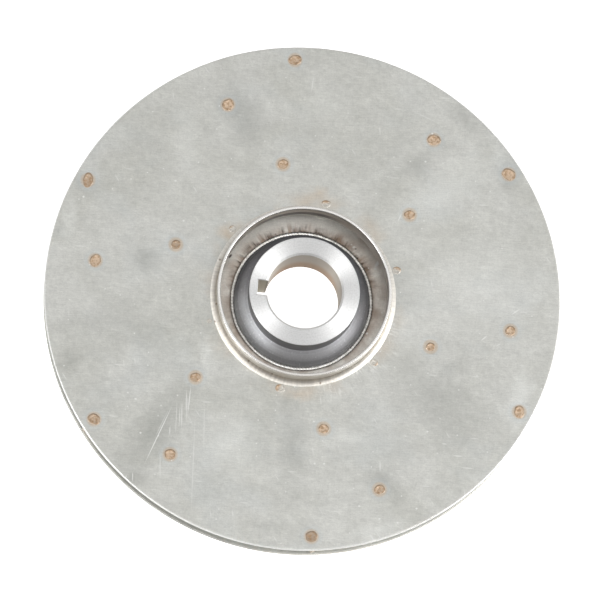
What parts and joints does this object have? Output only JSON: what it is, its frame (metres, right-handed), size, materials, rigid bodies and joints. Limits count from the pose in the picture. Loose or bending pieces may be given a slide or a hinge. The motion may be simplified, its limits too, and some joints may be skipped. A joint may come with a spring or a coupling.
{
  "type": "closed centrifugal impeller",
  "caption": "Closed centrifugal impeller of steel sheet: two discs with backward-curved blades between, a collar round the inlet eye and a welded hub with a keyed bore.",
  "frame": {"origin": "centre of the hub's rear face", "axes": "+Z along the shaft towards the inlet; the keyway is on the -X side of the bore"},
  "size_m": [0.22, 0.22, 0.0232],
  "materials": {
    "disc_sheet": "cold-rolled stainless sheet, lightly scratched",
    "blade_sheet": "folded stainless sheet",
    "collar_steel": "rolled stainless strip with weld heat tint",
    "hub_steel": "turned steel, faced bright",
    "weld_metal": "rippled weld bead",
    "spot_weld": "heat-tinted spot weld"
  },
  "bodies": {
    "root": {"rear_shroud": "disc_sheet", "front_shroud": "disc_sheet", "inlet_collar": "collar_steel", "collar_weld": "weld_metal", "hub": "hub_steel", "hub_front_weld": "weld_metal", "hub_rear_weld": "weld_metal", "blade_1": "blade_sheet", "blade_2": "blade_sheet", "blade_3": "blade_sheet", "blade_4": "blade_sheet", "blade_5": "blade_sheet", "blade_6": "blade_sheet", "spot_weld_1_1": "spot_weld", "spot_weld_1_2": "spot_weld", "spot_weld_1_3": "spot_weld", "spot_weld_1_4": "spot_weld", "spot_weld_2_1": "spot_weld", "spot_weld_2_2": "spot_weld", "spot_weld_2_3": "spot_weld", "spot_weld_2_4": "spot_weld", "spot_weld_3_1": "spot_weld", "spot_weld_3_2": "spot_weld", "spot_weld_3_3": "spot_weld", "spot_weld_3_4": "spot_weld", "spot_weld_4_1": "spot_weld", "spot_weld_4_2": "spot_weld", "spot_weld_4_3": "spot_weld", "spot_weld_4_4": "spot_weld", "spot_weld_5_1": "spot_weld", "spot_weld_5_2": "spot_weld", "spot_weld_5_3": "spot_weld", "spot_weld_5_4": "spot_weld", "spot_weld_6_1": "spot_weld", "spot_weld_6_2": "spot_weld", "spot_weld_6_3": "spot_weld", "spot_weld_6_4": "spot_weld"}
  },
  "joints": []
}
